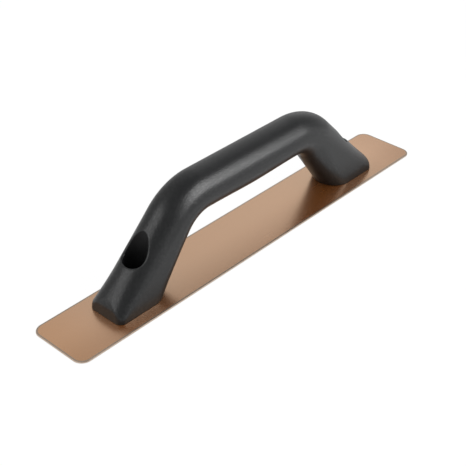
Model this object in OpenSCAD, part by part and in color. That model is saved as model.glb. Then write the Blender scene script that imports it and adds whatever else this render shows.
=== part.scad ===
// Drywall rasp: a long narrow carbide-grit plate with a D-shaped moulded handle.
// The tool lies along X with its working face down. The origin is under its middle, on the working face.

/* [Handle] */
// Length of the handle from toe to toe
handle_l = 312; // [270:1:400]
// Length of each foot from toe to heel
foot_l = 54; // [50:1:70]
// Width of each foot
foot_w = 36; // [35:0.5:46]
// Height at which the line of the slope passes over the end of the foot
toe_h = 10; // [6:0.5:14]
// Lean of each toe's face, in degrees from upright
toe_lean = 8; // [0:0.5:15]
// Radius of the standing corners of each toe and of the edge above them
toe_edge_r = 6; // [2:0.5:8]
// Radius of the slope's two shoulders at the foot
shoulder_r = 13; // [9:0.5:17]
// Slope of the legs' outer faces, in degrees from the plate
outer_slope = 45.4; // [40:0.1:60]
// Slope of the legs' inner faces, in degrees from the plate
inner_slope = 53.5; // [45:0.5:65]
// Radius of the bend between leg and grip, along the outer side
outer_bend_r = 61.5; // [40:0.5:80]
// Radius of the bend between leg and grip, along the finger side
inner_bend_r = 23; // [15:1:40]
// Distance up the slope over which the foot narrows to the leg
flare_run = 28; // [10:1:60]
// Distance up the slope over which the shoulders grow to a full round
round_run = 41; // [15:1:60]

/* [Grip] */
// Height of the top of the grip above the plate
grip_top = 85.5; // [75:0.5:110]
// Height of the grip's section at its ends
grip_h = 35; // [34:0.5:42]
// Width of the grip's section
grip_w = 34; // [28:0.5:35]
// How far the finger side bows out in the middle of the grip
grip_belly = 1.2; // [0:0.1:3]

/* [Plate] */
// Bare plate beyond each toe
plate_overhang = 47; // [10:0.5:120]
// Bare plate beside each foot
plate_margin = 10.6; // [2:0.05:30]
// Thickness of the steel
plate_t = 1.6; // [1:0.1:4]
// Radius of the plate's corners
plate_corner_r = 9; // [4:0.5:20]

/* [Grit] */
// Thickness of the brazed carbide layer
grit_t = 0.8; // [0.4:0.1:2]
// Bare edge of the plate around the carbide layer
grit_inset = 1; // [0:0.25:4]

/* [Studs and nuts] */
// Distance from the toe to the stud's axis
stud_from_toe = 35; // [28:0.5:42]
// Diameter of the stud's thread
stud_d = 8; // [6:0.5:10]
// How far the stud stands out of its nut
stud_out = 2.5; // [1:0.5:5]
// Width of the welded flange around the stud's root
flange_w = 2; // [1:0.25:3]
// Thickness of the welded flange
flange_t = 1; // [0.5:0.1:2]
// Thickness of the handle's floor under the washer
floor_t = 10; // [6:0.5:16]
// Width of the washer's ring
washer_w = 3.6; // [2.5:0.1:4.5]
// Thickness of the washer
washer_t = 1.6; // [1:0.1:2.5]
// Wall of the nut between its thread and its flats
nut_wall = 2.5; // [2.2:0.1:3.5]
// Height of the nut's hexagon
nut_hex_h = 6; // [4:0.5:9]
// Height of the collar that holds the locking ring
collar_h = 2.2; // [1.5:0.1:4]
// Width of the nylon locking ring
ring_w = 1.1; // [0.6:0.1:1.2]
// Wall of the collar around the locking ring
collar_wall = 0.8; // [0.5:0.1:1]

/* [Clearances] */
// Gap around the stud in its hole and in the washer
hole_clear = 0.4; // [0.2:0.05:1]
// Gap between the stud and the parts threaded on it
thread_clear = 0.05; // [0.02:0.01:0.1]
// Room around the washer for a socket wrench
wrench_clear = 2; // [1.5:0.25:3]
// Gap between the welded flange and its pocket in the handle
flange_clear = 0.4; // [0.2:0.1:1]

/* [Hidden] */

$fn = 64;
arc_points = 10;
toe_rings = 12;
leg_rings = 12;
bend_rings = 11;
grip_rings = 4;
cut_over = 1;

black_plastic = "#2e3032";
copper_braze = "#c0936f";
carbide = "#57504b";
zinc_plate = "#b9bcbf";
nylon = "#d9dfe2";

// Plate sizes and levels, all from the handle that stands on it
plate_l = handle_l + 2 * plate_overhang;
plate_w = foot_w + 2 * plate_margin;
plate_top = grit_t + plate_t;
floor_top = plate_top + floor_t;
nut_seat = floor_top + washer_t;

// Fastener sizes, all from the stud
stud_x = handle_l / 2 - stud_from_toe;
stud_r = stud_d / 2;
stud_h = floor_t + washer_t + nut_hex_h + collar_h + stud_out;
stud_tip = 1;
thread_r = stud_r + thread_clear;
hole_r = stud_r + hole_clear;
washer_r = hole_r + washer_w;
well_r = washer_r + wrench_clear;
flange_r = stud_r + flange_w;
nut_flat_r = stud_r + nut_wall;
nut_corner_r = nut_flat_r / cos(30);
nut_chamfer = nut_corner_r - nut_flat_r;
ring_r = stud_r + ring_w;
collar_r = ring_r + collar_wall;

// Side view of one leg, in x and height above the plate: the outer line runs straight up the slope and over the
// bend to the top of the grip, the inner line from the heel under the bend to the finger side of the grip.
// The slope starts where it would reach the plate, beyond the steep face that cuts it off at the toe.
toe_x = handle_l / 2;
heel_x = toe_x - foot_l;
grip_under = grip_top - grip_h;
outer_corner_x = toe_x - (grip_top - toe_h) / tan(outer_slope);
inner_corner_x = heel_x - grip_under / tan(inner_slope);
outer_tangent = outer_bend_r * tan(outer_slope / 2);
inner_tangent = inner_bend_r * tan(inner_slope / 2);
outer_bend_c = [outer_corner_x - outer_tangent, grip_top - outer_bend_r];
inner_bend_c = [inner_corner_x - inner_tangent, grip_under - inner_bend_r];
slope_start = [toe_x + toe_h / tan(outer_slope), 0];
slope_end = bend_point(outer_bend_c, outer_bend_r, outer_slope);
heel_start = [heel_x, 0];
heel_end = bend_point(inner_bend_c, inner_bend_r, inner_slope);
slope_run = norm(slope_end - slope_start);
toe_run = 2 * toe_h / sin(outer_slope);

function mix(a, b, share) = a + (b - a) * share;
function smooth(share) = share * share * (3 - 2 * share);
function bend_point(centre, radius, angle) = centre + radius * [sin(angle), cos(angle)];

// Stations of one half from the plate up to the middle, each [outer point, inner point, distance run up the slope].
// They stand close together at the toe, where the shape changes quickly.
slope_runs = concat(
    [for (i = [0 : toe_rings - 1]) toe_run * i / toe_rings],
    [for (i = [0 : leg_rings - 1]) mix(toe_run, slope_run, i / leg_rings)]);
half_stations = concat(
    [for (run = slope_runs)
        let (share = run / slope_run)
        [mix(slope_start, slope_end, share), mix(heel_start, heel_end, share), run]],
    [for (i = [0 : bend_rings])
        let (left = 1 - i / bend_rings)
        [bend_point(outer_bend_c, outer_bend_r, outer_slope * left),
         bend_point(inner_bend_c, inner_bend_r, inner_slope * left), slope_run]],
    [for (i = [1 : grip_rings])
        let (share = i / grip_rings)
        [mix(bend_point(outer_bend_c, outer_bend_r, 0), [0, grip_top], share),
         mix(bend_point(inner_bend_c, inner_bend_r, 0), [0, grip_under], share) - [0, grip_belly * smooth(share)],
         slope_run]]);

// Half width and shoulder radius of a section, by the distance run up the slope
function half_w(run) =
    mix(foot_w / 2, grip_w / 2, smooth(min(1, run / flare_run)));
function shoulder(run) =
    mix(min(shoulder_r, half_w(run)), half_w(run), smooth(min(1, run / round_run)));

// The smaller of a section's own depth and the toe's face, with the edge between them rounded off
function cut_short(depth, face_depth) =
    let (soft = toe_edge_r / 2,
         near = max(soft - abs(depth - face_depth), 0))
    min(depth, face_depth) - near * near / (4 * soft);

// Section outline as [depth, y] points: two shoulders on the outer side, a half round on the finger side.
// Where the toe's face ends the section early, a smaller arc leads from the shoulder to that face.
function arc_point(centre, radius, angle) = centre + radius * [cos(angle), sin(angle)];
function step_angle(i) = (i + 0.5) * 90 / arc_points;
function outer_corner(half_d, half, corner, end) =
    let (own = half_d - corner,
         reach = end - toe_edge_r - own,
         spare = corner - toe_edge_r,
         lift = reach > 0 ? sqrt(max(spare * spare - reach * reach, 0)) : spare,
         change = reach > 0 ? atan2(lift, reach) : 180)
    [for (i = [0 : arc_points - 1])
        let (angle = step_angle(i))
        angle < change
            ? arc_point([end - toe_edge_r, half - corner + lift], toe_edge_r, angle)
            : arc_point([own, half - corner], corner, angle)];
function section(half_d, half, corner, end) =
    let (one_side = outer_corner(half_d, half, corner, end))
    concat(one_side,
           [for (i = [arc_points : 3 * arc_points - 1]) arc_point([half - half_d, 0], half, step_angle(i))],
           [for (i = [arc_points - 1 : -1 : 0]) [one_side[i][0], -one_side[i][1]]]);

function ring(station, side) =
    let (outer = station[0],
         inner = station[1],
         run = station[2],
         middle = (outer + inner) / 2,
         half_d = norm(outer - inner) / 2,
         along = (outer - inner) / norm(outer - inner),
         to_face = toe_x - middle[0] - middle[1] * tan(toe_lean),
         face_d = to_face / (along[0] + along[1] * tan(toe_lean)),
         at_toe = outer[0] > toe_x - 3 * toe_edge_r,
         end = at_toe ? cut_short(half_d, face_d) : half_d)
    [for (p = section(half_d, half_w(run), shoulder(run), end))
        [side * (middle[0] + p[0] * along[0]), p[1], middle[1] + p[0] * along[1]]];

handle_rings = concat(
    [for (i = [0 : len(half_stations) - 1]) ring(half_stations[i], -1)],
    [for (i = [len(half_stations) - 2 : -1 : 0]) ring(half_stations[i], 1)]);

// Skin through a list of rings with the same number of points, closed at both ends
module loft(rings) {
    around = len(rings[0]);
    last = len(rings) - 1;
    points = [for (r = rings) each r];
    sides = [for (i = [0 : last - 1], j = [0 : around - 1])
        let (a = i * around + j,
             b = i * around + (j + 1) % around)
        each [[a, a + around, b], [b, a + around, b + around]]];
    start = [for (j = [0 : around - 1]) j];
    end = [for (j = [around - 1 : -1 : 0]) last * around + j];
    polyhedron(points = points, faces = concat([start], sides, [end]));
}

// Straight-sided well for the wrench, the stud's hole in its floor and the pocket for the welded flange
module stud_cuts(side) {
    translate([side * stud_x, 0, 0]) {
        translate([0, 0, floor_top])
            cylinder(r = well_r, h = grip_top);
        translate([0, 0, plate_top - cut_over])
            cylinder(r = hole_r, h = floor_t + 2 * cut_over);
        translate([0, 0, plate_top - cut_over])
            cylinder(r = flange_r + flange_clear, h = flange_t + flange_clear + cut_over);
    }
}

module handle() {
    color(black_plastic)
        difference() {
            translate([0, 0, plate_top])
                loft(handle_rings);
            stud_cuts(-1);
            stud_cuts(1);
        }
}

module rounded_rectangle(l, w, r) {
    square([l - 2 * r, w], center = true);
    square([l, w - 2 * r], center = true);
    for (x = [-1, 1], y = [-1, 1])
        translate([x * (l / 2 - r), y * (w / 2 - r)])
            circle(r = r);
}

module rasp_plate() {
    color(copper_braze)
        translate([0, 0, grit_t])
            linear_extrude(plate_t)
                rounded_rectangle(plate_l, plate_w, plate_corner_r);
}

module grit_face() {
    color(carbide)
        linear_extrude(grit_t)
            rounded_rectangle(plate_l - 2 * grit_inset, plate_w - 2 * grit_inset,
                              plate_corner_r - grit_inset);
}

module stud(side) {
    color(zinc_plate)
        translate([side * stud_x, 0, plate_top])
            rotate_extrude()
                polygon([[0, 0], [flange_r, 0], [flange_r, flange_t / 2], [flange_r - flange_t / 2, flange_t],
                         [stud_r, flange_t], [stud_r, stud_h - stud_tip], [stud_r - stud_tip, stud_h], [0, stud_h]]);
}

module washer(side) {
    color(zinc_plate)
        translate([side * stud_x, 0, floor_top])
            difference() {
                cylinder(r = washer_r, h = washer_t);
                translate([0, 0, -cut_over])
                    cylinder(r = hole_r, h = washer_t + 2 * cut_over);
            }
}

// Hexagon with its corners turned off above and below, and the collar on top
module nut(side) {
    turn_h = nut_chamfer * tan(30);
    color(zinc_plate)
        translate([side * stud_x, 0, nut_seat])
            difference() {
                union() {
                    intersection() {
                        cylinder(r = nut_corner_r, h = nut_hex_h, $fn = 6);
                        rotate_extrude()
                            polygon([[0, 0], [nut_flat_r, 0], [nut_corner_r, turn_h],
                                     [nut_corner_r, nut_hex_h - turn_h], [nut_flat_r, nut_hex_h], [0, nut_hex_h]]);
                    }
                    translate([0, 0, nut_hex_h])
                        cylinder(r = collar_r, h = collar_h);
                }
                translate([0, 0, -cut_over])
                    cylinder(r = thread_r, h = nut_hex_h + collar_h + 2 * cut_over);
                translate([0, 0, nut_hex_h])
                    cylinder(r = ring_r, h = collar_h + cut_over);
            }
}

module nut_ring(side) {
    color(nylon)
        translate([side * stud_x, 0, nut_seat + nut_hex_h])
            difference() {
                cylinder(r = ring_r, h = collar_h);
                translate([0, 0, -cut_over])
                    cylinder(r = thread_r, h = collar_h + 2 * cut_over);
            }
}

handle();
rasp_plate();
grit_face();
stud(-1);  // left_stud
washer(-1);  // left_washer
nut(-1);  // left_nut
nut_ring(-1);  // left_nut_ring
stud(1);  // right_stud
washer(1);  // right_washer
nut(1);  // right_nut
nut_ring(1);  // right_nut_ring
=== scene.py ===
# %% [markdown]
# # A drywall rasp
# This tool is a long copper-coloured steel plate with carbide grit under it and a black moulded D-handle on top.
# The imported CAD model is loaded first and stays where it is. It gives every size and place, so each piece that
# is made here is built straight where it belongs: in metres, X along the plate, Z up from the grit.

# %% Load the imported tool
import math

import bmesh
import bpy
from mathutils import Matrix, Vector


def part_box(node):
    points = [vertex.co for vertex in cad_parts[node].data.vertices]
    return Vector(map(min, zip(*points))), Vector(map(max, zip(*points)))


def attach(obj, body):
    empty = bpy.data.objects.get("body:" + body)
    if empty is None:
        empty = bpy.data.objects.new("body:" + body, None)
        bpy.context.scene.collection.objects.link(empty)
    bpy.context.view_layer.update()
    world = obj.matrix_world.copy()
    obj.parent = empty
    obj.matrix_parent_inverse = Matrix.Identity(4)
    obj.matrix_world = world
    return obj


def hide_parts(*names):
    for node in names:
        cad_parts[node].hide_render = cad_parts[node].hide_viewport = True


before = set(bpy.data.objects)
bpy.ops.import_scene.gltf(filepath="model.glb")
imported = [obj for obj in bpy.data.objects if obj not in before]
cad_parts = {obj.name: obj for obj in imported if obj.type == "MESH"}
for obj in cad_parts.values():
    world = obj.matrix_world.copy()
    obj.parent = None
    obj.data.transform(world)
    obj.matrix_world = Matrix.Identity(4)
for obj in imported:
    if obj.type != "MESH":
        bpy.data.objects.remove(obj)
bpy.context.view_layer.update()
MM = 0.001
plate_low, plate_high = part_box("rasp_plate")
handle_low, handle_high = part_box("handle")
plate_top = plate_high.z
print("Nodes:", sorted(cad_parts))

# %% [markdown]
# ## The camera
# The tool is seen from its left front corner, from well above. A camera could be aimed by eye, but the plate is a
# rectangle of known size, so its four edges give the angle, the distance and the focal length together.
# The numbers are that fit: where the middle of the plate's top lies in front of the lens, and how it is turned.

# %% Place the camera
picture_side = 466
focal_pixels = 1040.72
camera_turn = math.radians(-47.249)
camera_rise = math.radians(34.889)
plate_in_view = Vector((9.231, 2.273, 875.678)) * MM

back = Vector((math.sin(camera_turn) * math.cos(camera_rise),
               -math.cos(camera_turn) * math.cos(camera_rise),
               math.sin(camera_rise)))
right = Vector((0, 0, 1)).cross(back).normalized()
up = back.cross(right)
eye = Vector((0, 0, plate_top)) - right * plate_in_view.x - up * plate_in_view.y + back * plate_in_view.z

bpy.ops.object.select_all(action="DESELECT")
bpy.ops.object.camera_add(location=eye, rotation=(-back).to_track_quat("-Z", "Y").to_euler())
camera = bpy.context.object
camera.data.sensor_width = 36
camera.data.lens = camera.data.sensor_width * focal_pixels / picture_side
bpy.context.scene.camera = camera
print("Camera lens:", round(camera.data.lens, 2), "mm, distance", round((eye - Vector()).length, 3), "m")

# %% [markdown]
# ## Shader sums as Python
# A finish is a small graph of nodes. Wiring them one by one hides the idea, so a class wraps an output socket and
# lets Python's own operators add the Math nodes. Everything else, such as a noise or a colour mix, comes from one
# method that takes the node's type, its settings and what goes into its sockets.

# %% A class for signals
class Signal:
    """An output socket that can stand in sums and products."""

    def __init__(self, socket):
        self.socket = socket
        self.tree = socket.id_data

    def node(self, kind, settings, sockets, output=0):
        """Adds a node, sets it up, then fills its input sockets with values or signals."""
        added = self.tree.nodes.new(kind)
        for name, value in settings.items():
            setattr(added, name, value)
        for name, value in sockets.items():
            if isinstance(value, Signal):
                self.tree.links.new(value.socket, added.inputs[name])
            else:
                added.inputs[name].default_value = value
        return Signal(added.outputs[output])

    def sum(self, operation, first, second):
        return self.node("ShaderNodeMath", {"operation": operation}, {0: first, 1: second})

    def __add__(self, other):
        return self.sum("ADD", self, other)

    def __radd__(self, other):
        return self.sum("ADD", other, self)

    def __sub__(self, other):
        return self.sum("SUBTRACT", self, other)

    def __rsub__(self, other):
        return self.sum("SUBTRACT", other, self)

    def __mul__(self, other):
        return self.sum("MULTIPLY", self, other)

    def __rmul__(self, other):
        return self.sum("MULTIPLY", other, self)

    def clamped(self):
        return self.node("ShaderNodeClamp", {}, {"Value": self})

    def noise(self, scale, detail=2.0):
        """Cloudy noise on these coordinates, with about so many lumps a metre."""
        return self.node("ShaderNodeTexNoise", {}, {"Vector": self, "Scale": scale, "Detail": detail})

    def ramp(self, low, high):
        """Rises softly from 0 to 1 as this signal runs from low to high."""
        return self.node("ShaderNodeMapRange", {"interpolation_type": "SMOOTHSTEP"},
                         {"Value": self, "From Min": low, "From Max": high})

    def facing(self, way):
        """How far this direction points one way, from -1 to 1."""
        return self.node("ShaderNodeVectorMath", {"operation": "DOT_PRODUCT"}, {0: self, 1: way}, output=1)

    def stretched(self, scale):
        """These coordinates scaled along X, Y and Z."""
        return self.node("ShaderNodeMapping", {}, {"Vector": self, "Scale": scale})

    def between(self, low, high):
        """A colour that runs from low to high as this signal runs from 0 to 1."""
        return self.node("ShaderNodeMix", {"data_type": "RGBA"}, {0: self, 6: low, 7: high}, output=2)

    def bump(self, strength, distance):
        """A normal that this signal raises and lowers."""
        return self.node("ShaderNodeBump", {}, {"Height": self, "Strength": strength, "Distance": distance})


def new_finish(name, metallic=0.0, specular=0.5):
    """An empty material, its object coordinates and its shader node."""
    finish = bpy.data.materials.new(name)
    finish.use_nodes = True
    shader = finish.node_tree.nodes["Principled BSDF"]
    shader.inputs["Metallic"].default_value = metallic
    shader.inputs["Specular IOR Level"].default_value = specular
    coordinates = finish.node_tree.nodes.new("ShaderNodeTexCoord")
    return finish, Signal(coordinates.outputs["Object"]), shader


def add_shader(finish, share):
    """Lays a second, dull shader over a finish, by a share that may change over the surface."""
    nodes = finish.node_tree.nodes
    second = nodes.new("ShaderNodeBsdfPrincipled")
    layers = nodes.new("ShaderNodeMixShader")
    finish.node_tree.links.new(share.socket, layers.inputs["Fac"])
    finish.node_tree.links.new(nodes["Principled BSDF"].outputs["BSDF"], layers.inputs[1])
    finish.node_tree.links.new(second.outputs["BSDF"], layers.inputs[2])
    finish.node_tree.links.new(layers.outputs["Shader"], nodes["Material Output"].inputs["Surface"])
    return second


def feed(shader, **signals):
    """Links signals to the shader's sockets, named with underscores for spaces."""
    for name, signal in signals.items():
        shader.id_data.links.new(signal.socket, shader.inputs[name.replace("_", " ")])


def ray_kinds(tree):
    """Tells camera rays, mirror rays and rays through glass apart, each as a signal of 0 or 1."""
    rays = tree.nodes.new("ShaderNodeLightPath")
    return [Signal(rays.outputs[kind]) for kind in ("Is Camera Ray", "Is Glossy Ray", "Is Transmission Ray")]


def colour(red, green, blue):
    return (red, green, blue, 1.0)


print("Signals ready")

# %% [markdown]
# ## Floor and light
# The tool stands on white with almost no shadow, as in a light tent. A white world does most of that: camera rays
# see plain white, and the rest of the light comes a little dimmer from the same dome.
# Black plastic is mostly a mirror of what is around it, so what the dome looks like in a mirror decides which faces
# are dark. Each pixel of a smooth handle shows one direction, and reading them off one by one gives a map of the
# room: dark in front and above, where the camera looks in, and somewhat dimmer at the back and on the right.
# Those dark places are put into the world for mirror rays only. Each is a direction from which the dome darkens.

# %% Make the white tent
world = bpy.data.worlds.new("white_tent")
bpy.context.scene.world = world
world.use_nodes = True
tent = world.node_tree
sky = tent.nodes["Background"]
tent_light = 0.65
tent_mirror = 0.84
dark_places = (("opening", (-0.05, -0.61, 0.79), (0.0, 0.9), 0.54),
               ("back wall", (0.0, 0.94, 0.34), (0.6, 0.97), 0.34),
               ("side wall", (0.97, -0.17, 0.17), (0.75, 0.98), 0.28))

camera_ray, mirror_ray, clear_ray = ray_kinds(tent)
look = Signal(tent.nodes.new("ShaderNodeTexCoord").outputs["Generated"])
mirrored = tent_mirror
for name, way, spread, depth in dark_places:
    mirrored = mirrored - depth * look.facing(way).ramp(*spread)
    print("The", name, "is darker by", depth)
seen = (camera_ray + clear_ray + mirror_ray * mirrored).clamped()
unseen = 1 - (camera_ray + clear_ray + mirror_ray).clamped()
tent.links.new((seen + tent_light * unseen).socket, sky.inputs["Strength"])
sky.inputs["Color"].default_value = colour(1, 1, 1)

bpy.context.scene.view_settings.view_transform = "Standard"
print("World light", tent_light, "and in a mirror", tent_mirror)

# %% [markdown]
# The floor is white too. For camera rays nearly all of it glows just at white, and the rest is ordinary white
# paint, so it still darkens a little under the tool and the tool stands on something. In a mirror it is dimmer,
# and dimmest at the back.

# %% Make the floor
bpy.ops.object.select_all(action="DESELECT")
floor_gap = 0.15 * MM
floor_side = 12
bpy.ops.mesh.primitive_plane_add(size=floor_side, location=(0, 0, -floor_gap))
floor = bpy.context.object
floor.name = "floor"
floor_paint = bpy.data.materials.new("white_floor")
floor_paint.use_nodes = True
paint = floor_paint.node_tree
paint.nodes.remove(paint.nodes["Principled BSDF"])
white = paint.nodes.new("ShaderNodeBsdfDiffuse")
white.inputs["Color"].default_value = colour(0.9, 0.9, 0.9)
glow = paint.nodes.new("ShaderNodeEmission")
blend = paint.nodes.new("ShaderNodeMixShader")
glow_share = 0.95
glow_strength = 1.02
mirror_level = 0.76
mirror_drop = 0.3
away_from_camera = (0.5, 0.866, 0)
drop_start = 0.05
drop_end = 0.4
camera_ray, mirror_ray, clear_ray = ray_kinds(paint)
spot = Signal(paint.nodes.new("ShaderNodeTexCoord").outputs["Object"])
behind = spot.facing(away_from_camera).ramp(drop_start, drop_end)
glow_level = (camera_ray + clear_ray + mirror_ray * (mirror_level - mirror_drop * behind)).clamped()
paint.links.new((glow_strength * glow_level).socket, glow.inputs["Strength"])
seen = (camera_ray + clear_ray + mirror_ray).clamped()
paint.links.new((seen * glow_share).socket, blend.inputs["Fac"])
paint.links.new(white.outputs["BSDF"], blend.inputs[1])
paint.links.new(glow.outputs["Emission"], blend.inputs[2])
paint.links.new(blend.outputs["Shader"], paint.nodes["Material Output"].inputs["Surface"])
floor.data.materials.append(floor_paint)
print("Floor", round(floor.dimensions.x, 1), "m wide")

# %% [markdown]
# Two soft lamps are left. One stands at the front right, and the round grip shows it as a long pale streak. The
# other hangs over the left end and draws the pale line down the crest of the near leg.
# Where a lamp goes follows from its streak: halfway between the way to the camera and the way to the lamp is the
# way that the streak's part of the handle faces. How long and how soft the streak is gives the lamp's size.
# Copper is a far better mirror than black plastic, so a lamp that just shows on the handle would burn the plate out
# to white from behind. A photographer puts up a flag, a card that keeps a lamp off one piece. Light linking does
# the same here: each softbox is a strong lamp that skips the plate, and just behind it a weak one for everything.

# %% Hang the lamps
def softbox(name, place, target, width, height, watts):
    """A rectangular lamp that faces a point."""
    aim = (Vector(target) - Vector(place)).to_track_quat("-Z", "Y").to_euler()
    bpy.ops.object.light_add(type="AREA", location=place, rotation=aim)
    lamp = bpy.context.object
    lamp.name = name
    lamp.data.shape = "RECTANGLE"
    lamp.data.size = width
    lamp.data.size_y = height
    lamp.data.energy = watts
    return lamp


grip_middle = (0, 0, 70 * MM)
left_leg = (-120 * MM, 0, 40 * MM)
front_right = Vector((0.47, -0.965, 0.60))
over_left = Vector((-1.0, 0.27, 0.81))
streak_size = (0.82, 0.98)
crest_size = (1.05, 0.62)
step_back = 1.03
softbox("front_fill", front_right * step_back, grip_middle, *streak_size, watts=2.6)
softbox("left_fill", over_left * step_back, left_leg, *crest_size, watts=1.2)
streak_lamp = softbox("streak_lamp", front_right, grip_middle, *streak_size, watts=12.4)
crest_lamp = softbox("crest_lamp", over_left, left_leg, *crest_size, watts=2.5)
flag = bpy.data.collections.new("flag")
for lamp in (streak_lamp, crest_lamp):
    lamp.light_linking.receiver_collection = flag
    print(lamp.name, "will skip the plate")

# %% [markdown]
# ## Tools for modelling
# Blender's operators work on what is selected, so every step starts by selecting faces or edges by where they are.
# Two helpers do that, and one more cuts a plain cylinder into rings and sets each ring on its own outline. That
# last one is how a loft is made by hand: the handle, the wells and the threaded studs all come from it.

# %% Selecting, cutting and finishing
def edit(piece):
    """Opens a piece, and nothing else, in edit mode."""
    bpy.ops.object.select_all(action="DESELECT")
    piece.select_set(True)
    bpy.context.view_layer.objects.active = piece
    bpy.ops.object.mode_set(mode="EDIT")


def close():
    bpy.ops.object.mode_set(mode="OBJECT")


def pick(kind, wanted):
    """Selects the faces, edges or vertices that pass a test, and counts them."""
    bpy.ops.mesh.select_all(action="DESELECT")
    bpy.ops.mesh.select_mode(type={"faces": "FACE", "edges": "EDGE", "verts": "VERT"}[kind])
    shape = bmesh.from_edit_mesh(bpy.context.object.data)
    chosen = [element for element in getattr(shape, kind) if wanted(element)]
    for element in chosen:
        element.select_set(True)
    shape.select_flush_mode()
    bmesh.update_edit_mesh(bpy.context.object.data)
    return len(chosen)


def tube_of_rings(name, rings):
    """Cuts a cylinder into rings and moves the points of each ring to their places, ring by ring."""
    around = len(rings[0])
    last = len(rings) - 1
    bpy.ops.object.select_all(action="DESELECT")
    bpy.ops.mesh.primitive_cylinder_add(vertices=around, radius=1, depth=2)
    tube = bpy.context.object
    tube.name = name
    edit(tube)
    pick("edges", lambda edge: abs(edge.verts[0].co.z - edge.verts[1].co.z) > 1)
    bpy.ops.mesh.subdivide(number_cuts=last - 1)
    close()
    for vertex in tube.data.vertices:
        ring = round((vertex.co.z + 1) / 2 * last)
        place = round(math.atan2(vertex.co.y, vertex.co.x) / math.tau * around) % around
        vertex.co = rings[ring][place]
    edit(tube)
    bpy.ops.mesh.select_all(action="SELECT")
    bpy.ops.mesh.normals_make_consistent(inside=False)
    close()
    return tube


def apply_modifier(piece, kind, **settings):
    """Adds a modifier, sets it and applies it."""
    bpy.ops.object.select_all(action="DESELECT")
    piece.select_set(True)
    bpy.context.view_layer.objects.active = piece
    modifier = piece.modifiers.new(kind.title(), kind)
    for name, value in settings.items():
        setattr(modifier, name, value)
    bpy.ops.object.modifier_apply(modifier=modifier.name)


def hand_over(piece, finish, node, smooth_angle=35):
    """Gives a piece its finish and its shading, and lets it stand for its CAD node."""
    bpy.ops.object.select_all(action="DESELECT")
    piece.select_set(True)
    bpy.context.view_layer.objects.active = piece
    bpy.ops.object.shade_smooth_by_angle(angle=math.radians(smooth_angle))
    if not piece.data.materials:
        piece.data.materials.append(finish)
    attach(piece, "root")
    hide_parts(node)
    piece.data.calc_loop_triangles()
    print(piece.name, "has", len(piece.data.loop_triangles), "triangles")


# %% [markdown]
# ## Finish: black moulded plastic
# The handle is one hard black moulding with a fine matt grain. A flat black would look like a hole, so the grey
# drifts a little over the surface, the roughness follows the grain, and the same grain gives a slight bump. Some
# grains are polished by hands, so a thin coat comes and goes with them.
# Inside the wells, nobody polishes anything: the wall is duller, and painted shade keeps it dark right up to the
# mouth.

# %% Black plastic
black_plastic, place, shader = new_finish("black_plastic", specular=0.41)
shader.inputs["Coat Roughness"].default_value = 0.25
drift = place.noise(70, detail=3)
grain = place.noise(760, detail=3)
greyness = 0.6 * drift + 0.4 * grain
feed(shader,
     Base_Color=greyness.between(colour(0.005, 0.0055, 0.006), colour(0.010, 0.0105, 0.011)),
     Roughness=0.28 + 0.10 * grain,
     Coat_Weight=0.44 * grain.ramp(0.45, 0.70),
     Normal=grain.bump(0.45, 0.22 * MM))

# Painted shade: the well wall's colour is a little darker than the skin's, as in a recess; its dullness is real.
well_wall, place, shader = new_finish("well_wall", specular=0.26)
haze = place.noise(250, detail=2)
feed(shader,
     Base_Color=haze.between(colour(0.004, 0.004, 0.0045), colour(0.008, 0.008, 0.0085)),
     Roughness=0.52 + 0.15 * haze)
print("Finishes:", black_plastic.name, well_wall.name)

# %% [markdown]
# ## Finish: copper braze film
# The plate is steel that went through a copper brazing furnace, so its whole face has a thin satin copper film.
# It mirrors the handle as a soft dark blur. Faint streaks along the plate and cloudy patches keep it from looking
# painted. Its colour also turns redder and darker towards the near end, and painted shade darkens it along the front
# edge and at the far end, as three ramps over the plate's own coordinates do.
# Under the mirror lies a little dull orange, because the film is slightly porous. Without it, the dark reflections
# would be grey. Along the rim, a narrow frame is darker and greyer, where the edge rolls over it is scuffed to a
# dull brown, and the cut side below is nearly bare steel.

# %% Copper film, darker rim, rolled edge and cut side
copper_film, place, shader = new_finish("copper_film", metallic=1.0)
cloud = place.noise(16, detail=3)
streak = place.stretched((14, 700, 14)).noise(1, detail=3)
painted_front_shade = place.facing((0, -1, 0)).ramp(-10 * MM, 30 * MM)
near_end = place.facing((-1, 0, 0)).ramp(150 * MM, 205 * MM)
painted_far_end_shade = place.facing((1, 0, 0)).ramp(165 * MM, 205 * MM)
film = (0.85 * cloud + 0.15 * streak).between(colour(0.71, 0.505, 0.35), colour(0.755, 0.54, 0.38))
film = (0.3 * near_end).between(film, colour(0.70, 0.39, 0.18))
# Painted shade: the film is darkened towards the front edge and at the far end.
film = (0.2 * painted_front_shade + 0.12 * painted_far_end_shade).between(film, colour(0, 0, 0))
feed(shader,
     Base_Color=film,
     Roughness=0.22 + 0.04 * streak + 0.04 * cloud,
     Normal=streak.bump(0.008, 0.05 * MM))
bloom = add_shader(copper_film, 0.16 + 0.06 * cloud)
feed(bloom,
     Base_Color=cloud.between(colour(0.68, 0.195, 0.022), colour(0.78, 0.235, 0.032)),
     Roughness=0.50 + 0.15 * streak)


def scuffed(name, dark, pale):
    """A metal with fine scuffs between a dark and a pale tone."""
    finish, place, shader = new_finish(name, metallic=1.0)
    scuff = place.noise(300, detail=3)
    feed(shader,
         Base_Color=scuff.between(dark, pale),
         Roughness=0.35 + 0.15 * scuff)
    return finish


# The rim: a narrow frame along the plate's edge, darker and greyer than the film.
darker_rim = scuffed("darker_rim", colour(0.40, 0.33, 0.27), colour(0.50, 0.42, 0.345))
rolled_edge = scuffed("rolled_edge", colour(0.55, 0.415, 0.315), colour(0.70, 0.53, 0.41))

cut_side, place, shader = new_finish("cut_side", metallic=1.0)
shear = place.stretched((160, 160, 1500)).noise(1, detail=2)
feed(shader,
     Base_Color=shear.between(colour(0.66, 0.54, 0.45), colour(0.82, 0.74, 0.67)),
     Roughness=0.32 + 0.15 * shear)
print("Finishes:", copper_film.name, darker_rim.name, rolled_edge.name, cut_side.name)

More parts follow.
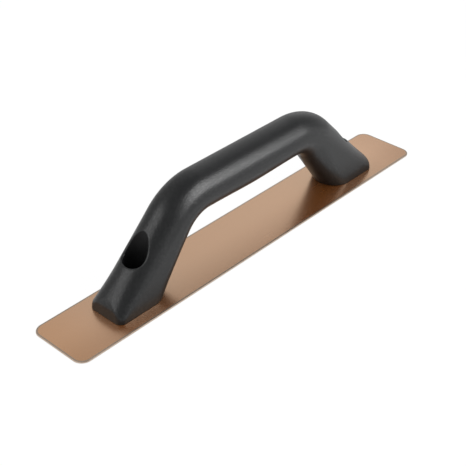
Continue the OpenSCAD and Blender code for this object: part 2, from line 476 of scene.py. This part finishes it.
# %% [markdown]
# ## The handle's side view
# Seen from the side, each leg has two lines. The outer one runs straight up the slope and bends into the top of the
# grip. The inner one starts at the heel and bends into the finger side. Both are straight lines and arcs of known
# sizes, so each station pairs one point of the outer line with one of the inner line. At the toe, the slope would
# run out far over the plate, but there a steep face cuts it off, so the outer line simply goes on to the plate
# and every section is told later where that face is.
# The sizes are those of the CAD source, and only one half is needed, because both ends are alike.

# %% Lines of the leg
handle_l = (handle_high.x - handle_low.x) / MM
foot_l = 54
foot_w = (handle_high.y - handle_low.y) / MM
toe_h = 10
toe_lean = math.radians(8)
toe_edge_r = 6
shoulder_r = 13
outer_slope = math.radians(45.4)
inner_slope = math.radians(53.5)
outer_bend_r = 61.5
inner_bend_r = 23
flare_run = 28
round_run = 41
grip_top = (handle_high.z - handle_low.z) / MM
grip_h = 35
grip_w = 34
grip_belly = 1.2
base_edge_r = 0.5


def mix(first, second, share):
    return first + (second - first) * share


def smooth(share):
    return share * share * (3 - 2 * share)


def bend_point(centre, radius, angle):
    return centre + radius * Vector((math.sin(angle), math.cos(angle)))


toe_x = handle_l / 2
heel_x = toe_x - foot_l
grip_under = grip_top - grip_h
outer_bend_c = Vector((toe_x - (grip_top - toe_h) / math.tan(outer_slope)
                       - outer_bend_r * math.tan(outer_slope / 2), grip_top - outer_bend_r))
inner_bend_c = Vector((heel_x - grip_under / math.tan(inner_slope)
                       - inner_bend_r * math.tan(inner_slope / 2), grip_under - inner_bend_r))
slope_start = Vector((toe_x + toe_h / math.tan(outer_slope), 0))
slope_end = bend_point(outer_bend_c, outer_bend_r, outer_slope)
heel_start = Vector((heel_x, 0))
heel_end = bend_point(inner_bend_c, inner_bend_r, inner_slope)
slope_run = (slope_end - slope_start).length
print("Slope of", round(slope_run, 1), "mm, grip under", round(grip_under, 1), "mm over the plate")

# %% [markdown]
# The stations stand close together at the toe, where the shape changes quickly, and wider apart up the leg. The
# first few also carry a small pull inwards, which rounds the edge that stands on the plate.

# %% Stations from the plate to the middle of the grip
base_rings = 4
toe_rings = 24
leg_rings = 26
bend_rings = 30
grip_rings = 12
toe_run = 2 * toe_h / math.sin(outer_slope)

runs = []
for i in range(base_rings):
    turn = math.pi / 2 * i / base_rings
    runs.append((base_edge_r * (1 - math.cos(turn)), base_edge_r * (1 - math.sin(turn))))
runs += [(mix(base_edge_r, toe_run, i / toe_rings), 0) for i in range(toe_rings)]
runs += [(mix(toe_run, slope_run, i / leg_rings), 0) for i in range(leg_rings)]

stations = []
for run, pull in runs:
    share = run / slope_run
    stations.append((mix(slope_start, slope_end, share), mix(heel_start, heel_end, share), run, pull))
for i in range(bend_rings + 1):
    left = 1 - i / bend_rings
    stations.append((bend_point(outer_bend_c, outer_bend_r, outer_slope * left),
                     bend_point(inner_bend_c, inner_bend_r, inner_slope * left), slope_run, 0))
bend_outer, bend_inner = stations[-1][0], stations[-1][1]
for i in range(1, grip_rings + 1):
    share = i / grip_rings
    bow = Vector((0, grip_belly * smooth(share)))
    stations.append((mix(bend_outer, Vector((0, grip_top)), share),
                     mix(bend_inner, Vector((0, grip_under)), share) - bow, slope_run, 0))
print(len(stations), "stations on half of the handle")

# %% [markdown]
# ## The handle's sections
# Across the leg, the section has a half round on the finger side and two rounded shoulders on the outer side. Where
# the toe's steep face cuts the section short, each shoulder ends in a smaller arc that meets that face. Both arcs
# are walked by the way they face, so the points flow from one into the other without a step.
# A loft through all the sections gives the moulded flow that a bevelled box wouldn't have.

# %% Sections as rings of points
corner_points = 18
side_points = 8


def half_width(run):
    return mix(foot_w / 2, grip_w / 2, smooth(min(1, run / flare_run)))


def shoulder_radius(run):
    half = half_width(run)
    return mix(min(shoulder_r, half), half, smooth(min(1, run / round_run)))


def cut_short(depth, face_depth):
    """The smaller of a section's own depth and the toe's face, with the edge between them rounded off."""
    soft = toe_edge_r / 2
    near = max(soft - abs(depth - face_depth), 0)
    return min(depth, face_depth) - near * near / (4 * soft)


def outer_corner(half_depth, half, shoulder, end, edge):
    """Points round one outer corner, as depth and y, from the section's end to its side."""
    own = half_depth - shoulder
    reach = end - edge - own
    spare = shoulder - edge
    lift = math.sqrt(max(spare * spare - reach * reach, 0)) if reach > 0 else spare
    change = math.atan2(lift, reach) if reach > 0 else math.pi
    points = []
    for i in range(corner_points):
        angle = (i + 0.5) * math.pi / 2 / corner_points
        if angle < change:
            depth, y, radius = end - edge, half - shoulder + lift, edge
        else:
            depth, y, radius = own, half - shoulder, shoulder
        points.append((depth + radius * math.cos(angle), y + radius * math.sin(angle)))
    return points


def side_line(first, second, y):
    """Points along a straight side between two depths."""
    return [(mix(first, second, (i + 1) / (side_points + 1)), y) for i in range(side_points)]


def section(half_depth, half, shoulder, end, edge):
    """The whole outline of a section, as depth and y."""
    corner = outer_corner(half_depth, half, shoulder, end, edge)
    rear = half - half_depth
    half_round = [(rear - half * math.sin(angle), half * math.cos(angle))
                  for angle in ((i + 0.5) * math.pi / 2 / corner_points for i in range(2 * corner_points))]
    side = side_line(corner[-1][0], rear, half)
    return (corner + side + half_round + [(depth, -y) for depth, y in reversed(side)]
            + [(depth, -y) for depth, y in reversed(corner)])


def leg_ring(outer, inner, run, pull):
    """One section set between its outer and inner point, in metres."""
    centre = (outer + inner) / 2
    along = (outer - inner).normalized()
    half_depth = (outer - inner).length / 2
    end = half_depth
    if outer.x > toe_x - 3 * toe_edge_r:
        to_face = toe_x - centre.x - centre.y * math.tan(toe_lean)
        end = cut_short(half_depth, to_face / (along.x + along.y * math.tan(toe_lean)))
    outline = section(half_depth - pull, half_width(run) - pull, shoulder_radius(run) - pull, end - pull,
                      toe_edge_r - pull)
    return [Vector(((centre.x + depth * along.x) * MM, y * MM, plate_top + (centre.y + depth * along.y) * MM))
            for depth, y in outline]


half_rings = [leg_ring(*station) for station in stations]
handle = tube_of_rings("handle_moulding", half_rings)
print("Half handle:", len(handle.data.vertices), "points in", len(half_rings), "rings")

# %% [markdown]
# ## The wrench well
# A straight round well goes down through the slope to the nut. Its mouth has a small rounded lip that catches the
# light. A bevel on such a slanted cut breaks easily, so the lip is put on the cutter instead: a ray from above
# finds how high the slope is all round the mouth, and the cutter flares out there. One Boolean then does it all.

# %% Sizes of the well
stud_x = toe_x - 35
well_r = 10
hole_r = 4.4
pocket_r = 6.4
pocket_h = 1.4
floor_top = 10
lip_r = 1.1
lip_steps = 6
lip_share = 0.86
lip_flare = 4
cutter_low = -1
cutter_high = 120
ray_start = 200
well_points = 96


def slope_height(x, y):
    """Height of the handle's outer skin over the plate at a place, in mm."""
    hit, point, normal, face = handle.ray_cast(Vector((x, y, ray_start)) * MM, Vector((0, 0, -1)))
    return (point.z - plate_top) / MM


def well_line(angle):
    """Radius and height of the cutter's wall at one angle, from the pocket under the foot up past the lip."""
    towards = Vector((math.cos(angle), math.sin(angle)))
    mouth = Vector((stud_x, 0)) + well_r * towards
    height = slope_height(*mouth)
    tilt = math.atan((slope_height(*(mouth + lip_r * towards)) - height) / lip_r)
    turn = math.pi / 2 - tilt
    reach = lip_r * math.tan(turn / 2)
    line = [(pocket_r, cutter_low), (pocket_r, pocket_h), (hole_r, pocket_h),
            (hole_r, floor_top), (well_r, floor_top)]
    for i in range(lip_steps + 1):
        swing = turn * lip_share * i / lip_steps
        line.append((well_r + lip_r * (1 - math.cos(swing)), height - reach + lip_r * math.sin(swing)))
    swing = turn * lip_share
    line.append((line[-1][0] + lip_flare * math.sin(swing), line[-1][1] + lip_flare * math.cos(swing)))
    line.append((line[-1][0], cutter_high))
    return line


well_lines = [well_line(math.tau * j / well_points) for j in range(well_points)]
well_rings = [[Vector(((stud_x + radius * math.cos(math.tau * j / well_points)) * MM,
                       radius * math.sin(math.tau * j / well_points) * MM,
                       plate_top + height * MM))
               for j in range(well_points) for radius, height in [well_lines[j][k]]]
              for k in range(len(well_lines[0]))]
first_lip_point = 5
mouth_heights = [line[first_lip_point][1] for line in well_lines]
print("Mouth from", round(min(mouth_heights), 1), "to", round(max(mouth_heights), 1), "mm over the plate")

# %% [markdown]
# The half is cut while it stands alone and mirrored afterwards, so one cut makes both wells. The flat face in the
# middle goes first, or it would stay inside the finished grip as a wall.

# %% Cut the well, then mirror the half
cutter = tube_of_rings("well_cutter", well_rings)
apply_modifier(handle, "BOOLEAN", operation="DIFFERENCE", solver="EXACT", object=cutter)
bpy.data.objects.remove(cutter)


def in_well(face):
    """Tells the well's straight wall from its lip and from the skin."""
    middle = face.calc_center_median()
    from_axis = (middle.xy - Vector((stud_x * MM, 0))).length
    return from_axis < (well_r + 0.02) * MM and middle.z > plate_top + floor_top * MM


for finish in (black_plastic, well_wall):
    handle.data.materials.append(finish)
edit(handle)
print("Wall faces:", pick("faces", in_well))
handle.active_material_index = 1
bpy.ops.object.material_slot_assign()
pick("faces", lambda face: all(abs(vertex.co.x) < 0.01 * MM for vertex in face.verts))
bpy.ops.mesh.delete(type="ONLY_FACE")
close()
apply_modifier(handle, "MIRROR", use_axis=(True, False, False), use_clip=True, merge_threshold=0.02 * MM)
hand_over(handle, black_plastic, "handle", smooth_angle=32)

# %% [markdown]
# ## The plate
# The plate is sheet steel with round corners and slightly rolled edges. A cube is scaled to the sheet, its four
# upright edges are bevelled to the corner radius, and then both long outlines get a small bevel of their own.
# Smooth shading would now bend the light over the whole flat face, because its only points are the ones it shares
# with that bevel. An inset all round gives the flat its own points, and its narrow frame is also the darker rim.

# %% Sheet with round corners and rolled edges
corner_r = 9 * MM
rim_r = 0.55 * MM
rim_w = 0.9 * MM
plate_size = plate_high - plate_low
bpy.ops.object.select_all(action="DESELECT")
bpy.ops.mesh.primitive_cube_add(size=1)
plate = bpy.context.object
plate.name = "copper_plate"
edit(plate)
bpy.ops.mesh.select_all(action="SELECT")
bpy.ops.transform.resize(value=plate_size)
bpy.ops.transform.translate(value=(plate_low + plate_high) / 2)
pick("edges", lambda edge: abs(edge.verts[0].co.z - edge.verts[1].co.z) > plate_size.z / 2)
bpy.ops.mesh.bevel(offset=corner_r, segments=20, affect="EDGES")
pick("edges", lambda edge: abs(edge.verts[0].co.z - edge.verts[1].co.z) < plate_size.z / 10)
bpy.ops.mesh.bevel(offset=rim_r, segments=4, affect="EDGES")
pick("faces", lambda face: abs(face.normal.z) > 0.999)
bpy.ops.mesh.inset(thickness=rim_w)
close()

for finish in (copper_film, darker_rim, rolled_edge, cut_side):
    plate.data.materials.append(finish)
zones = (("rim", 1, lambda face: len(face.verts) == 4),
         ("rolled", 2, lambda face: abs(face.normal.z) < 0.999),
         ("cut", 3, lambda face: abs(face.normal.z) < 0.1))
edit(plate)
for zone, slot_number, wanted in zones:
    count = pick("faces", wanted)
    plate.active_material_index = slot_number
    bpy.ops.object.material_slot_assign()
    print(zone, "faces:", count)
close()
hand_over(plate, copper_film, "rasp_plate", smooth_angle=40)
flag.objects.link(plate)
flag.collection_objects[0].light_linking.link_state = "EXCLUDE"
print("Flagged off the strong lamps:", plate.name)

# %% [markdown]
# ## Finish: carbide grit
# The working face is a field of dark carbide grains, held by copper braze that fills the gaps between them. Height
# tells the two apart: near the floor there are only grain tips, and deeper in there is braze. A second, fine grain
# makes some tips glint.

# %% Carbide in copper braze
carbide_grit, place, shader = new_finish("carbide_grit", metallic=0.8)
fine = place.noise(1400, detail=3)
height = place.facing((0, 0, 1 / MM))
depth = (height + 0.25 * fine).ramp(0.42, 0.60)
carbide = fine.between(colour(0.035, 0.033, 0.032), colour(0.16, 0.145, 0.13))
braze = place.noise(220, detail=2).between(colour(0.40, 0.25, 0.15), colour(0.56, 0.38, 0.25))
feed(shader,
     Base_Color=depth.between(carbide, braze),
     Roughness=0.48 - 0.22 * fine,
     Normal=fine.bump(0.5, 0.25 * MM))
print("Finish:", carbide_grit.name)

# %% [markdown]
# ## The grit face
# Thousands of grains could be scattered one by one, but they are bedded together, so one surface carries them. A
# fine grid is scaled to the plate and its corners are drawn in to the round. A Displace modifier with a cell
# pattern then raises a rough peak in every cell. The rim is drawn up to the plate and closed with one flat face.

# %% Displaced sheet of grains
grit_low, grit_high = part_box("grit_face")
grit_size = grit_high - grit_low
grit_corner = corner_r - 1 * MM
grain_size = 2.1 * MM
relief = 0.5 * MM
squares_long = 620
squares_wide = 86
bpy.ops.object.select_all(action="DESELECT")
bpy.ops.mesh.primitive_grid_add(x_subdivisions=squares_long, y_subdivisions=squares_wide, size=1)
grit = bpy.context.object
grit.name = "carbide_face"
edit(grit)
bpy.ops.mesh.select_all(action="SELECT")
bpy.ops.transform.resize(value=(grit_size.x, grit_size.y, 1))
close()
for vertex in grit.data.vertices:
    across = (abs(vertex.co.x) - grit_size.x / 2) / grit_corner + 1
    along = (abs(vertex.co.y) - grit_size.y / 2) / grit_corner + 1
    if across > 0 and along > 0:
        pull_x = across * (1 - math.sqrt(1 - along * along / 2)) * grit_corner
        pull_y = along * (1 - math.sqrt(1 - across * across / 2)) * grit_corner
        vertex.co.x -= math.copysign(pull_x, vertex.co.x)
        vertex.co.y -= math.copysign(pull_y, vertex.co.y)

cells = bpy.data.textures.new("grain_cells", "VORONOI")
cells.noise_scale = grain_size
cells.weight_1 = -1
cells.weight_2 = 1
apply_modifier(grit, "DISPLACE", texture=cells, texture_coords="LOCAL", direction="Z",
               mid_level=0, strength=-relief)
lowest = min(vertex.co.z for vertex in grit.data.vertices)
edit(grit)
bpy.ops.mesh.select_all(action="SELECT")
bpy.ops.transform.resize(value=(1, 1, -relief / lowest), center_override=(0, 0, 0))
bpy.ops.transform.translate(value=(0, 0, relief))
bpy.ops.mesh.select_mode(type="EDGE")
bpy.ops.mesh.select_all(action="DESELECT")
bpy.ops.mesh.select_non_manifold()
bpy.ops.mesh.extrude_edges_move()
bpy.ops.transform.resize(value=(1, 1, 0), center_override=(0, 0, grit_high.z))
bpy.ops.mesh.edge_face_add()
bpy.ops.mesh.select_all(action="SELECT")
bpy.ops.mesh.normals_make_consistent(inside=False)
close()
hand_over(grit, carbide_grit, "grit_face", smooth_angle=20)

# %% [markdown]
# ## Finishes: zinc and nylon
# Studs, washers and nuts are zinc plated: a pale metal with soft cloudy spangles. The locking rings are milky nylon.

# %% Zinc plate and nylon
bright_zinc, place, shader = new_finish("bright_zinc", metallic=1.0)
spangle = place.noise(450, detail=3)
feed(shader,
     Base_Color=spangle.between(colour(0.47, 0.48, 0.49), colour(0.66, 0.66, 0.64)),
     Roughness=0.26 + 0.16 * spangle,
     Normal=place.noise(1800).bump(0.06, 0.05 * MM))

milky_nylon, place, shader = new_finish("milky_nylon", specular=0.45)
haze = place.noise(600, detail=2)
feed(shader,
     Base_Color=haze.between(colour(0.56, 0.60, 0.63), colour(0.70, 0.73, 0.75)),
     Roughness=0.36 + 0.12 * haze)
print("Finishes:", bright_zinc.name, milky_nylon.name)

# %% [markdown]
# ## Studs, washers and nuts
# Round parts are turned: a closed outline is drawn on one side of the axis and spun all the way round it. The
# right-hand set is made first, in its own place down the well, and then copied to the other end.

# %% Turn a closed outline
def turned(name, outline, centre_x, steps=64):
    """Spins a closed outline of (radius, height) points round an upright axis at centre_x."""
    bpy.ops.object.select_all(action="DESELECT")
    bpy.ops.mesh.primitive_circle_add(vertices=len(outline), radius=1)
    body = bpy.context.object
    body.name = name
    for vertex, (radius, height) in zip(body.data.vertices, outline):
        vertex.co = Vector((centre_x + radius, 0, height))
    edit(body)
    bpy.ops.mesh.select_all(action="SELECT")
    bpy.ops.mesh.spin(steps=steps, angle=math.tau, center=(centre_x, 0, 0), axis=(0, 0, 1))
    bpy.ops.mesh.select_all(action="SELECT")
    bpy.ops.mesh.remove_doubles(threshold=0.001 * MM)
    bpy.ops.mesh.normals_make_consistent(inside=False)
    close()
    return body


def eased(inner, outer, low, high, ease):
    """Outline of a flat ring with all four corners eased."""
    return [(inner, low + ease), (inner + ease, low), (outer - ease, low), (outer, low + ease),
            (outer, high - ease), (outer - ease, high), (inner + ease, high), (inner, high - ease)]


stud_place = stud_x * MM
washer_low, washer_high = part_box("right_washer")
washer_r = (washer_high.x - washer_low.x) / 2
washer_ease = 0.18 * MM
washer_line = eased(hole_r * MM, washer_r, washer_low.z, washer_high.z, washer_ease)
washer = turned("right_washer_disc", washer_line, stud_place)
ring_low, ring_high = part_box("right_nut_ring")
ring_r = (ring_high.x - ring_low.x) / 2
thread_r = 4.05 * MM
ring_ease = 0.2 * MM
ring = turned("right_locking_ring", eased(thread_r, ring_r, ring_low.z, ring_high.z, ring_ease), stud_place)
print("Washer radius", round(washer_r / MM, 2), "mm, ring radius", round(ring_r / MM, 2), "mm")

# %% [markdown]
# The nut starts as a six-sided cylinder. A turned body with slanted shoulders is what is left of the corners when
# the real bar is chamfered, so the two are intersected. A turned collar is joined on top, open for the ring.

# %% Lock nut
nut_low, nut_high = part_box("right_nut")
hex_top = ring_low.z
corner = 7.51 * MM
flat = corner * math.cos(math.pi / 6)
shoulder = (corner - flat) * math.tan(math.pi / 6)
collar_r = 5.9 * MM
collar_foot = 0.5 * MM
collar_ease = 0.4 * MM
collar_sink = 0.1 * MM
bpy.ops.object.select_all(action="DESELECT")
bpy.ops.mesh.primitive_cylinder_add(vertices=6, radius=corner, depth=hex_top - nut_low.z)
nut = bpy.context.object
nut.name = "right_lock_nut"
edit(nut)
bpy.ops.mesh.select_all(action="SELECT")
bpy.ops.transform.rotate(value=math.pi / 6, orient_axis="Z", center_override=(0, 0, 0))
bpy.ops.transform.translate(value=(stud_place, 0, (hex_top + nut_low.z) / 2))
close()
chamfer_line = [(thread_r, nut_low.z), (flat, nut_low.z),
                (corner + shoulder, nut_low.z + 2 * shoulder), (corner + shoulder, hex_top - 2 * shoulder),
                (flat, hex_top), (thread_r, hex_top)]
chamfer = turned("chamfer", chamfer_line, stud_place)
collar_line = [(ring_r, hex_top - collar_sink), (collar_r + collar_foot, hex_top - collar_sink),
               (collar_r, hex_top + collar_foot), (collar_r, nut_high.z - collar_ease),
               (collar_r - collar_ease, nut_high.z), (ring_r, nut_high.z)]
collar = turned("collar", collar_line, stud_place)
apply_modifier(nut, "BOOLEAN", operation="INTERSECT", solver="EXACT", object=chamfer)
apply_modifier(nut, "BOOLEAN", operation="UNION", solver="EXACT", object=collar)
bpy.data.objects.remove(chamfer)
bpy.data.objects.remove(collar)
print("Nut of", len(nut.data.polygons), "faces")

# %% [markdown]
# The stud is a lathe job with a screw thread. The same ring tool does it: in every ring, the radius rises and falls
# once a pitch along the height, and the wave is turned a little further at each step around. The thread fades out
# over the welded flange and at the chamfered tip.

# %% Threaded stud
stud_low, stud_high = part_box("right_stud")
major_r = 4 * MM
minor_r = 3.4 * MM
pitch = 1.25 * MM
flange_r = (stud_high.x - stud_low.x) / 2
flange_h = 1 * MM
tip = 1 * MM
thread_start = stud_low.z + flange_h + 1 * MM
thread_rings = 94
thread_flank = 2.6
weld_step = 0.05 * MM
run_out = 0.3 * MM
stud_points = 48


def thread_radius(height, angle):
    """Radius of a screw thread at one height and angle."""
    phase = (height / pitch - angle / math.tau) % 1
    wave = min(1, thread_flank * abs(phase - 0.5))
    limit = major_r - max(0, height - (stud_high.z - tip))
    return min(limit, mix(minor_r, major_r, wave))


def stud_ring(radius, height):
    """A ring of the stud, round or threaded."""
    points = []
    for step in range(stud_points):
        angle = math.tau * step / stud_points
        reach = radius or thread_radius(height, angle)
        points.append(Vector((stud_place + reach * math.cos(angle), reach * math.sin(angle), height)))
    return points


flange_top = stud_low.z + flange_h
root = [(flange_r, stud_low.z), (flange_r, stud_low.z + flange_h / 2), (flange_r - flange_h / 2, flange_top),
        (major_r, flange_top + weld_step), (major_r, thread_start - run_out)]
stud_rings = [stud_ring(radius, height) for radius, height in root]
for i in range(thread_rings + 1):
    stud_rings.append(stud_ring(None, mix(thread_start, stud_high.z, i / thread_rings)))
stud = tube_of_rings("right_weld_stud", stud_rings)
print("Stud of", len(stud_rings), "rings")

# %% [markdown]
# Everything at the left end is the same again. Each copy gets a mesh of its own, moved inside the mesh.

# %% Hand over both sets
fasteners = ((washer, bright_zinc, "zinc_steel", "washer", 30), (ring, milky_nylon, "nylon", "nut_ring", 30),
             (nut, bright_zinc, "zinc_steel", "nut", 25), (stud, bright_zinc, "zinc_steel", "stud", 50))
for piece, finish, slot, part, angle in fasteners:
    bpy.ops.object.select_all(action="DESELECT")
    piece.select_set(True)
    bpy.context.view_layer.objects.active = piece
    bpy.ops.object.duplicate(linked=False)
    twin = bpy.context.object
    twin.name = piece.name.replace("right", "left")
    edit(twin)
    bpy.ops.mesh.select_all(action="SELECT")
    bpy.ops.transform.translate(value=(-2 * stud_place, 0, 0))
    close()
    hand_over(piece, finish, "right_" + part, smooth_angle=angle)
    hand_over(twin, finish, "left_" + part, smooth_angle=angle)
